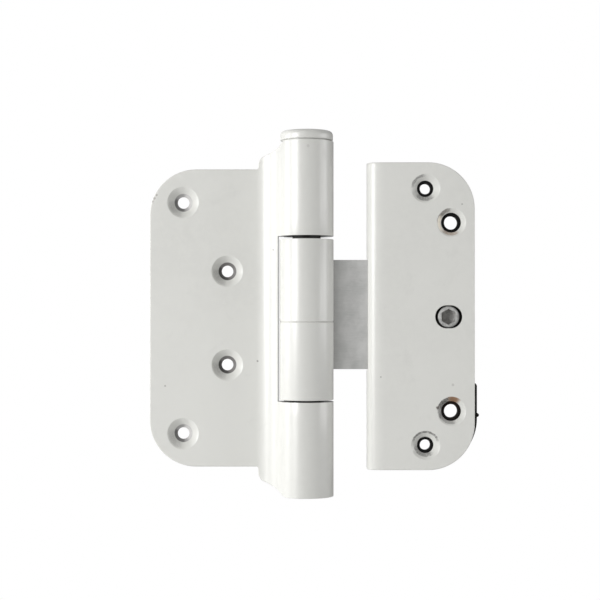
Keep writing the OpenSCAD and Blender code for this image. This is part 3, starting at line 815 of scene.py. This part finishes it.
class HINGE_OT_finishes(bpy.types.Operator):
    """Make the materials and the turning tree"""
    bl_idname = "hinge.finishes"
    bl_label = "Finishes"

    def execute(self, context):
        choices, leaf = context.scene.hinge_finishes, context.scene.hinge_jamb
        lock, socket = (LOCK.x, LOCK.z), context.scene.hinge_screw.lock_flats / 2

        # Painted shade: near-black on the window's side wall, in the gap beside the middle knuckle
        def window_wall_shade(f):
            inside = abs(f.z).rise(leaf.window_half + 0.1 * MM, leaf.window_half)
            return inside * f.x.rise(-leaf.window_side - 0.3 * MM, -leaf.window_side - 0.18 * MM)

        # Painted shade: near-black on the wall of the cover's slot round the lock screw
        def slot_wall_shade(f):
            deep, soft = COVER_LOW.y + 0.3 * MM, 0.06 * MM
            return f.sector(lock, 0.0, 5.6 * MM) * f.y.rise(deep - soft, deep + soft)

        # Painted light: the cover's fold edge lighter, where the barrel keeps the key lamp off it
        def fold_edge_light(f):
            return f.x.rise(COVER_LOW.x + 2.0 * MM, COVER_LOW.x + 0.8 * MM)

        PALETTE.update(
            jamb=white_coat("white_coat_jamb", choices.white, *jamb_marks(), shade_at=window_wall_shade),
            barrel=white_coat("white_coat_barrel", choices.white, [(-9.1, -1.1, -0.4, 0.75, 0.9)]),
            cover=white_coat("white_coat_cover", choices.white, *cover_marks(), slot_wall_shade, fold_edge_light),
            zinc=zinc_sheet("zinc_plate", choices.zinc, lock),
            steel=machined_steel("machined_steel", choices.steel),
            pin=pin_shade_steel("greased_pin_steel", choices.steel),
            lock=screw_steel("lock_screw_steel", choices.steel, lock, socket),
            black=black_coat("black_coating", choices.black),
            nylon=natural_nylon("natural_nylon", choices.nylon))
        turning_tree()
        return {"FINISHED"}


def jamb_outline(sizes, ear, land, total):
    """The jamb leaf's blank, anticlockwise, in (run, z); ear and land are runs along the sheet."""
    corner, squash, round_z = sizes.corner, sizes.ear_squash, sizes.ear_corner
    centre, centre_z = ear + round_z * squash, sizes.ear_half - round_z
    line = Vector(((land - centre) / squash, BARREL_END - centre_z))
    turn = math.degrees(math.atan2(line.y, line.x) + math.acos(round_z / line.length))
    fillet = sizes.step_fillet
    outline = []
    for side in (1, -1):
        half = sizes.plate_half + side * sizes.plate_rise
        part = arc((corner, half - corner), corner, 180, 90, 16)
        part += arc((ear - fillet, half + fillet), fillet, 270, 360, 5)
        part += [(centre + px * squash, centre_z + pz) for px, pz in arc((0, 0), round_z, 180, turn, 8)]
        part += [(land, BARREL_END), (total, BARREL_END)]
        outline += reversed(part) if side > 0 else [(x, -z) for x, z in part]
    return outline


class HINGE_OT_jamb_leaf(bpy.types.Operator):
    """Cut, fold and roll the jamb leaf"""
    bl_idname = "hinge.jamb_leaf"
    bl_label = "Jamb leaf"

    def execute(self, context):
        sizes = context.scene.hinge_jamb
        t, web, bend = sizes.sheet, sizes.web_flat, sizes.bend
        bend_y = sizes.plate_set - bend
        bend_x = -math.sqrt((BARREL_R + bend) ** 2 + web ** 2 - bend_y ** 2)
        slope = -math.pi / 2 - math.atan2(bend_y, bend_x) - math.atan(web / (BARREL_R + bend))
        mid_bend, mid_roll = bend + t / 2, BARREL_R - t / 2
        bend_run = bend_x - PLATE_EDGE
        web_run = bend_run + mid_bend * slope
        roll_run = web_run + web
        total = roll_run + mid_roll * sizes.roll_sweep

        def place(run, depth, z):
            if run <= bend_run:
                return (PLATE_EDGE + run, sizes.plate_set + depth, z)
            if run <= roll_run:
                turn = min(slope, (run - bend_run) / mid_bend)
                on = max(0.0, run - web_run)
                reach = bend + depth
                return (bend_x + reach * math.sin(turn) + on * math.cos(slope),
                        bend_y + reach * math.cos(turn) - on * math.sin(slope), z)
            turn = math.pi * 1.5 - slope + (run - roll_run) / mid_roll
            return ((BARREL_R - depth) * math.cos(turn), (BARREL_R - depth) * math.sin(turn), z)

        ear = bend_run + mid_bend * math.asin((-sizes.ear_reach - bend_x) / bend)
        land = roll_run + mid_roll * (slope - math.asin(sizes.ear_land / BARREL_R))
        holes = [((x - PLATE_EDGE, z), 0.0, hole_profile(sizes.sink, sizes.neck, bore, t, land=sizes.land))
                 for (x, z), bore in screw_holes("jamb_screws_outer", "jamb_screws_inner")]
        cuts = [*runs(bend_run, web_run, BEND_CUTS), web_run, *runs(roll_run, total, ROLL_CUTS)]
        leaf = sheet("jamb_sheet", "jamb", jamb_outline(sizes, ear, land, total),
                     edge_profile(t, JAMB_EDGE, WHITE_BACK_EDGE), holes, cuts, place,
                     lambda run, z: 0.35 if run > roll_run else 1.0)
        side, half = sizes.window_side, sizes.window_half
        carved(leaf, (-side, -BEYOND, -half), (BEYOND, BEYOND, half),
               lambda co: abs(abs(co.z) - half) < 2e-6 and co.x > -side + 1e-5, sizes.window_round)
        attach(leaf, "jamb")
        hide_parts("jamb_leaf")
        return {"FINISHED"}


class HINGE_OT_barrel(bpy.types.Operator):
    """Turn the cap and the sleeves"""
    bl_idname = "hinge.barrel"
    bl_label = "Barrel pieces"

    def execute(self, context):
        sizes = context.scene.hinge_knuckle
        low, top, head_r = BOX["top_cap"][0].z, BOX["top_cap"][1].z, BOX["top_cap"][1].x
        plug_r, chamfer, head_low = BOX["upper_bush"][1].x, sizes.plug_chamfer, BARREL_END + sizes.head_gap
        profile = [(0.0, low), (plug_r - chamfer, low), (plug_r, low + chamfer), (plug_r, BARREL_END),
                   (sizes.groove, BARREL_END), (sizes.groove, head_low),
                   *rounded((head_r, head_low), sizes.head_under, (1, 0), (0, 1), 3),
                   *rounded((head_r, top), sizes.head_round, (0, 1), (-1, 0), 8), (0.0, top)]
        cap = finished(*turned("barrel_cap", profile, PALETTE["barrel"]))
        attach(cap, "jamb")
        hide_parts("top_cap")

        inner, outer, c = sizes.roll_inner, sizes.roll_inner + sizes.tongue, sizes.seam
        for name in ("sleeve_upper", "sleeve_lower"):
            low, high = BOX[name][0].z, BOX[name][1].z
            if name == "sleeve_upper":
                wall = [(BARREL_R - c, low), (BARREL_R, low + c)]
                wall += rounded((BARREL_R, high), sizes.end_round, (0, 1), (-1, 0))
            else:
                wall = rounded((BARREL_R, low), sizes.end_round, (1, 0), (0, 1))
                wall += [(BARREL_R, high - c), (BARREL_R - c, high)]
            sleeve = finished(*turned("knuckle_" + name, [(outer + PLAY, low), *wall, (outer + PLAY, high)],
                                      PALETTE["barrel"]))
            carved(sleeve, (0.0, inner - CUT_PLAY, -sizes.tongue_low - sizes.side_gap),
                   (BARREL_R + BEYOND, outer + CUT_PLAY, sizes.tongue_high + sizes.side_gap))
            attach(sleeve, "leaf")
            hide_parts(name)
        return {"FINISHED"}


class HINGE_OT_slide(bpy.types.Operator):
    """Cut and roll the slide plate"""
    bl_idname = "hinge.slide"
    bl_label = "Slide plate"

    def execute(self, context):
        sizes = context.scene.hinge_knuckle
        low, high = BOX["slide_leaf"]
        t, inner, reach, corner = sizes.tongue, sizes.roll_inner, high.x, sizes.tongue_corner
        mid = inner + t / 2
        close = math.asin((inner - sizes.roll_gap) / (inner + t))
        total = reach + mid * (1.5 * math.pi + close)

        def place(run, depth, z):
            if run <= reach:
                return (reach - run, inner + depth, z)
            turn = math.pi / 2 + (run - reach) / mid
            return ((inner + depth) * math.cos(turn), (inner + depth) * math.sin(turn), z)

        outline = [*arc((corner, corner - sizes.tongue_low), corner, 180, 270, 4),
                   (reach, -sizes.tongue_low), (reach, low.z), (total, low.z), (total, high.z),
                   (reach, high.z), (reach, sizes.tongue_high),
                   *arc((corner, sizes.tongue_high - corner), corner, 90, 180, 4)]
        bore = BOX["lock_screw"][1].x - LOCK.x + PLAY
        plate = sheet("slide_plate", "zinc", outline, edge_profile(t, TONGUE_EDGE, TONGUE_EDGE),
                      [((reach - LOCK.x, LOCK.z), 0.0, plain_profile(bore, t))],
                      runs(reach, total, ROLL_CUTS), place)
        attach(plate, "leaf")
        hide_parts("slide_leaf")
        return {"FINISHED"}


class HINGE_OT_cover(bpy.types.Operator):
    """Cut and fold the door leaf's cover"""
    bl_idname = "hinge.cover"
    bl_label = "Cover"

    def execute(self, context):
        sizes, knuckle = context.scene.hinge_door, context.scene.hinge_knuckle
        t, outer, mid = sizes.cover, sizes.fold + sizes.cover, sizes.fold + sizes.cover / 2
        (near, face, low), (reach, back, high) = COVER_LOW, COVER_HIGH
        centre = (near + outer, face + outer)
        flange = back - centre[1]
        flat_run = flange + mid * math.pi / 2
        total = flat_run + reach - centre[0]

        def place(run, depth, z):
            if run <= flange:
                return (near + depth, back - run, z)
            skin = (sizes.fold_width - outer) * (1 - depth / t)
            if run <= flat_run:
                turn = (run - flange) / mid
                return (centre[0] + skin - (outer - depth + skin) * math.cos(turn),
                        centre[1] - (outer - depth) * math.sin(turn), z)
            on = run - flat_run
            return (centre[0] + on + skin * max(0.0, 1 - on / sizes.settle), face + depth, z)

        r, small = sizes.corner, sizes.square_corner
        outline = arc((small, low + small), small, 180, 270, 4)
        outline += arc((total - r, low + r), r, -90, 0, 18)
        outline += arc((total - r, high - r), r, 0, 90, 18)
        outline += arc((small, high - small), small, 90, 180, 4)
        holes = [((x - centre[0] + flat_run, z), 0.0, hole_profile(sizes.sink, neck, neck, t))
                 for mount, neck in zip(DOOR_MOUNTS, (sizes.end_neck, sizes.middle_neck))
                 for (x, z), _bore in screw_holes(mount)]
        holes.append(((LOCK.x - centre[0] + flat_run, LOCK.z), sizes.slot_half - sizes.slot_radius,
                      plain_profile(sizes.slot_radius, t, sizes.slot_rim)))
        cuts = [*runs(flange, flat_run, BEND_CUTS), flat_run, flat_run + sizes.settle]
        cover = sheet("folded_cover", "cover", outline, edge_profile(t, COVER_EDGE, WHITE_BACK_EDGE),
                      holes, cuts, place)
        carved(cover, (near - BEYOND, knuckle.roll_inner - sizes.tongue_gap,
                       -knuckle.tongue_low - knuckle.side_gap),
               (near + outer, back + BEYOND, knuckle.tongue_high + knuckle.side_gap))
        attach(cover, "door")
        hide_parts("cover_plate")
        return {"FINISHED"}


def flat_plate(node, outline, thick, soften, holes):
    """A flat black sheet of the door body, from the front of its node's box backwards."""
    y = BOX[node][0].y
    rings = [(hole, 0.0, plain_profile(bore, thick)) for hole, bore in holes]
    plate = sheet("black_" + node, "black", outline, edge_profile(thick, soften, soften), rings, (),
                  lambda x, depth, z: (x, y + depth, z))
    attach(plate, "door")
    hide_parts(node)


class HINGE_OT_backing(bpy.types.Operator):
    """Cut the spacers and the back plate"""
    bl_idname = "hinge.backing"
    bl_label = "Spacers and back plate"

    def execute(self, context):
        sizes = context.scene.hinge_door
        holes = screw_holes(*DOOR_MOUNTS)
        r = sizes.spacer_corner
        for node in ("spacer_upper", "spacer_lower"):
            low, high = BOX[node]
            if node == "spacer_upper":
                outline = [(low.x, low.z), (high.x, low.z), *arc((high.x - r, high.z - r), r, 0, 90, 18)]
            else:
                outline = [(low.x, low.z), *arc((high.x - r, low.z + r), r, -90, 0, 18), (high.x, high.z)]
            flat_plate(node, outline + [(low.x, high.z)], high.y - low.y, SPACER_EDGE,
                       [(hole, bore) for hole, bore in holes if low.z < hole[1] < high.z])

        low_z, high_z = COVER_LOW.z + sizes.inset, COVER_HIGH.z - sizes.inset
        # The lug and the nub on the plate's right edge: black sheet standing in for a cast shadow, as
        # painted shade
        near, reach, lug = BACK_LOW.x, COVER_HIGH.x - sizes.inset, COVER_HIGH.x + sizes.shadow_lug_out
        big, small = sizes.corner + sizes.shadow_lug_out, sizes.corner - sizes.inset
        top, curl, root = -sizes.lug_top, sizes.lug_round, sizes.root
        outline = [(near, low_z), *arc((lug - big, COVER_LOW.z + sizes.lug_rise + big), big, -90, 0, 20),
                   *arc((lug, -sizes.nub_drop), sizes.nub, -90, 90, 8),
                   *arc((lug - curl, top - curl), curl, 0, 80, 6), (reach + root, top), (reach, top + root),
                   *arc((reach - small, high_z - small), small, 0, 90, 20), (near, high_z)]
        flat_plate("back_plate", outline, sizes.back, BACK_PLATE_EDGE,
                   [(hole, bore + sizes.back_holes) for hole, bore in holes])
        return {"FINISHED"}


class HINGE_OT_bearings(bpy.types.Operator):
    """Turn the bushes, the insert, the pin, the ball and both screws"""
    bl_idname = "hinge.bearings"
    bl_label = "Bearings and screws"

    def execute(self, context):
        sizes = context.scene.hinge_screw

        def add(node, name, profile, finish, body, place=None):
            bm, *rest = turned(name, profile, PALETTE[finish])
            piece = finished(bent(bm, (), place) if place else bm, *rest)
            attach(piece, body)
            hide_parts(node)

        low, high = BOX["hinge_pin"]
        pin_r, c = high.x, sizes.pin_chamfer
        pin = [(0.0, low.z), (pin_r - c, low.z), (pin_r, low.z + c), (pin_r, high.z - c),
               (pin_r - c, high.z), (0.0, high.z)]
        for node in ("upper_bush", "lower_bush"):
            low, high = BOX[node]
            ring = ring_profile(pin_r + PLAY, high.x, low.z, high.z, sizes.bush_chamfer)
            add(node, "nylon_" + node, ring, "nylon", "jamb")
        add("hinge_pin", "steel_pin", pin, "pin", "leaf")

        low, high = BOX["thrust_ball"]
        profile = [(high.x * math.sin(a), (low.z + high.z) / 2 - high.x * math.cos(a))
                   for a in (math.pi * i / 40 for i in range(1, 40))]
        add("thrust_ball", "bearing_ball", [(0.0, low.z), *profile, (0.0, high.z)], "steel", "carriage")

        low, high = BOX["screw_insert"]
        bore, c, long = BOX["height_screw"][1].x + PLAY, sizes.insert_chamfer, high.z - low.z
        ring = ring_profile(bore, high.x, low.z, high.z, c)
        steps = round(long / (sizes.pitch / 10))
        wall = [(bore, high.z - c / 2 - (long - c) * i / steps, 0.0, faded(i, steps))
                for i in range(1, steps)]
        add("screw_insert", "threaded_insert", ring[:-1] + wall + ring[-1:], "zinc", "jamb")

        foot, high = BOX["height_screw"]
        add("height_screw", "height_set_screw",
            screw_profile(high.x, high.z - foot.z, sizes.height_flats, sizes), "steel", "height_screw",
            lambda x, y, z: (x, y, z + foot.z))
        head, high = BOX["lock_screw"]
        add("lock_screw", "lock_set_screw",
            screw_profile(high.x - LOCK.x, high.y - head.y, sizes.lock_flats, sizes), "lock", "lock_screw",
            lambda x, y, z: (LOCK.x + x, head.y + z, LOCK.z - y))
        return {"FINISHED"}


def around(azimuth, elevation, distance):
    """A point round the object: azimuth 0 is in front, -90 is on its -X side."""
    a, e = math.radians(azimuth), math.radians(elevation)
    return Vector((math.sin(a) * math.cos(e), -math.cos(a) * math.cos(e), math.sin(e))) * distance


def faced(obj, place, axis):
    """Puts obj at a place, with that axis of its own towards the pin's centre."""
    obj.location = place
    obj.rotation_euler = (-place).to_track_quat(axis, "Y").to_euler()


def grid(name, cells, size, material):
    """A square sheet for the stage."""
    bm = bmesh.new()
    bmesh.ops.create_grid(bm, x_segments=cells, y_segments=cells, size=size)
    return as_object(bm, name, material)


class HINGE_OT_stage(bpy.types.Operator):
    """Set up the floor, the lamps, the world and the camera"""
    bl_idname = "hinge.stage"
    bl_label = "Stage"

    def execute(self, context):
        scene, sizes = context.scene, context.scene.hinge_stage
        scene.view_settings.view_transform = "Standard"
        scene.world = bpy.data.worlds.new("studio")
        scene.world.use_nodes = True
        g = Graph(scene.world.node_tree)
        g.tree.nodes.clear()
        camera_ray, glossy_ray, clear_ray = (
            g.node("ShaderNodeLightPath", out=ray)
            for ray in ("Is Camera Ray", "Is Glossy Ray", "Is Transmission Ray"))
        plain, seen = (g.node("ShaderNodeBackground", None, {"Color": (1, 1, 1, 1), "Strength": strength})
                       for strength in (sizes.ambient, 1.0))
        both = g.node("ShaderNodeMixShader", None,
                      {0: camera_ray.larger(glossy_ray).larger(clear_ray), 1: plain, 2: seen})
        g.fill(g.tree.nodes.new("ShaderNodeOutputWorld").inputs["Surface"], both)

        f = Finish("studio_floor", Roughness=0.8)
        f.link("Base Color", f.mix(f.noise(3.0), (0.80, 0.80, 0.80), (0.84, 0.84, 0.84)))
        floor = grid("studio_floor", 8, 0.7, f.material)
        for v in floor.data.vertices:
            v.co.z = -sizes.floor_drop

        for name, azimuth, elevation, size in LAMPS:
            lamp = bpy.data.lights.new(name + "_lamp", "AREA")
            lamp.shape, lamp.energy, lamp.size = "DISK", getattr(sizes, name), size
            made = bpy.data.objects.new(lamp.name, lamp)
            faced(made, around(azimuth, elevation, sizes.lamp_distance), "-Z")
            scene.collection.objects.link(made)

        dark = Finish("dark_card", Roughness=1.0, Specular_IOR_Level=0.0,
                      Base_Color=(0.01, 0.01, 0.01, 1.0))
        card = grid("dark_card", 1, 0.5, dark.material)
        faced(card, around(sizes.card_turn, 0, sizes.card_distance), "Z")
        card.scale = (0.4, 0.6, 1.0)
        card.visible_camera = card.visible_diffuse = card.visible_transmission = card.visible_shadow = False

        lens = bpy.data.cameras.new("camera")
        lens.sensor_width, lens.angle, lens.shift_y = 36.0, sizes.view, sizes.rise
        lens.clip_start, lens.clip_end = 0.01, 20.0
        scene.camera = bpy.data.objects.new("camera", lens)
        scene.camera.location = (sizes.camera_x, -sizes.distance, sizes.height)
        scene.camera.rotation_euler = (math.pi / 2, 0, 0)
        scene.collection.objects.link(scene.camera)
        return {"FINISHED"}


class HINGE_PT_panel(bpy.types.Panel):
    bl_idname = "HINGE_PT_panel"
    bl_label = "Door hinge"
    bl_space_type = "VIEW_3D"
    bl_region_type = "UI"
    bl_category = "Hinge"

    def draw(self, context):
        for step in STEPS:
            self.layout.operator(step.bl_idname)
        for group, _kind in GROUPS:
            box = self.layout.box()
            owner = getattr(context.scene, group)
            for key in owner.bl_rna.properties.keys():
                if key not in {"rna_type", "name"}:
                    box.prop(owner, key)


GROUPS = (("hinge_jamb", JambLeafSizes), ("hinge_door", DoorLeafSizes), ("hinge_knuckle", KnuckleSizes),
          ("hinge_screw", ScrewSizes), ("hinge_finishes", FinishChoices), ("hinge_stage", StageSizes))
STEPS = (HINGE_OT_finishes, HINGE_OT_jamb_leaf, HINGE_OT_barrel, HINGE_OT_slide, HINGE_OT_cover,
         HINGE_OT_backing, HINGE_OT_bearings, HINGE_OT_stage)


def register():
    for kind in (*(kind for _name, kind in GROUPS), *STEPS, HINGE_PT_panel):
        bpy.utils.register_class(kind)
    for name, kind in GROUPS:
        setattr(bpy.types.Scene, name, PointerProperty(type=kind))


def unregister():
    for name, _kind in GROUPS:
        delattr(bpy.types.Scene, name)
    for kind in (HINGE_PT_panel, *reversed(STEPS), *(kind for _name, kind in GROUPS)):
        bpy.utils.unregister_class(kind)


def main():
    register()
    for step in STEPS:
        group, action = step.bl_idname.split(".")
        getattr(getattr(bpy.ops, group), action)()


if __name__ == "__main__":
    main()
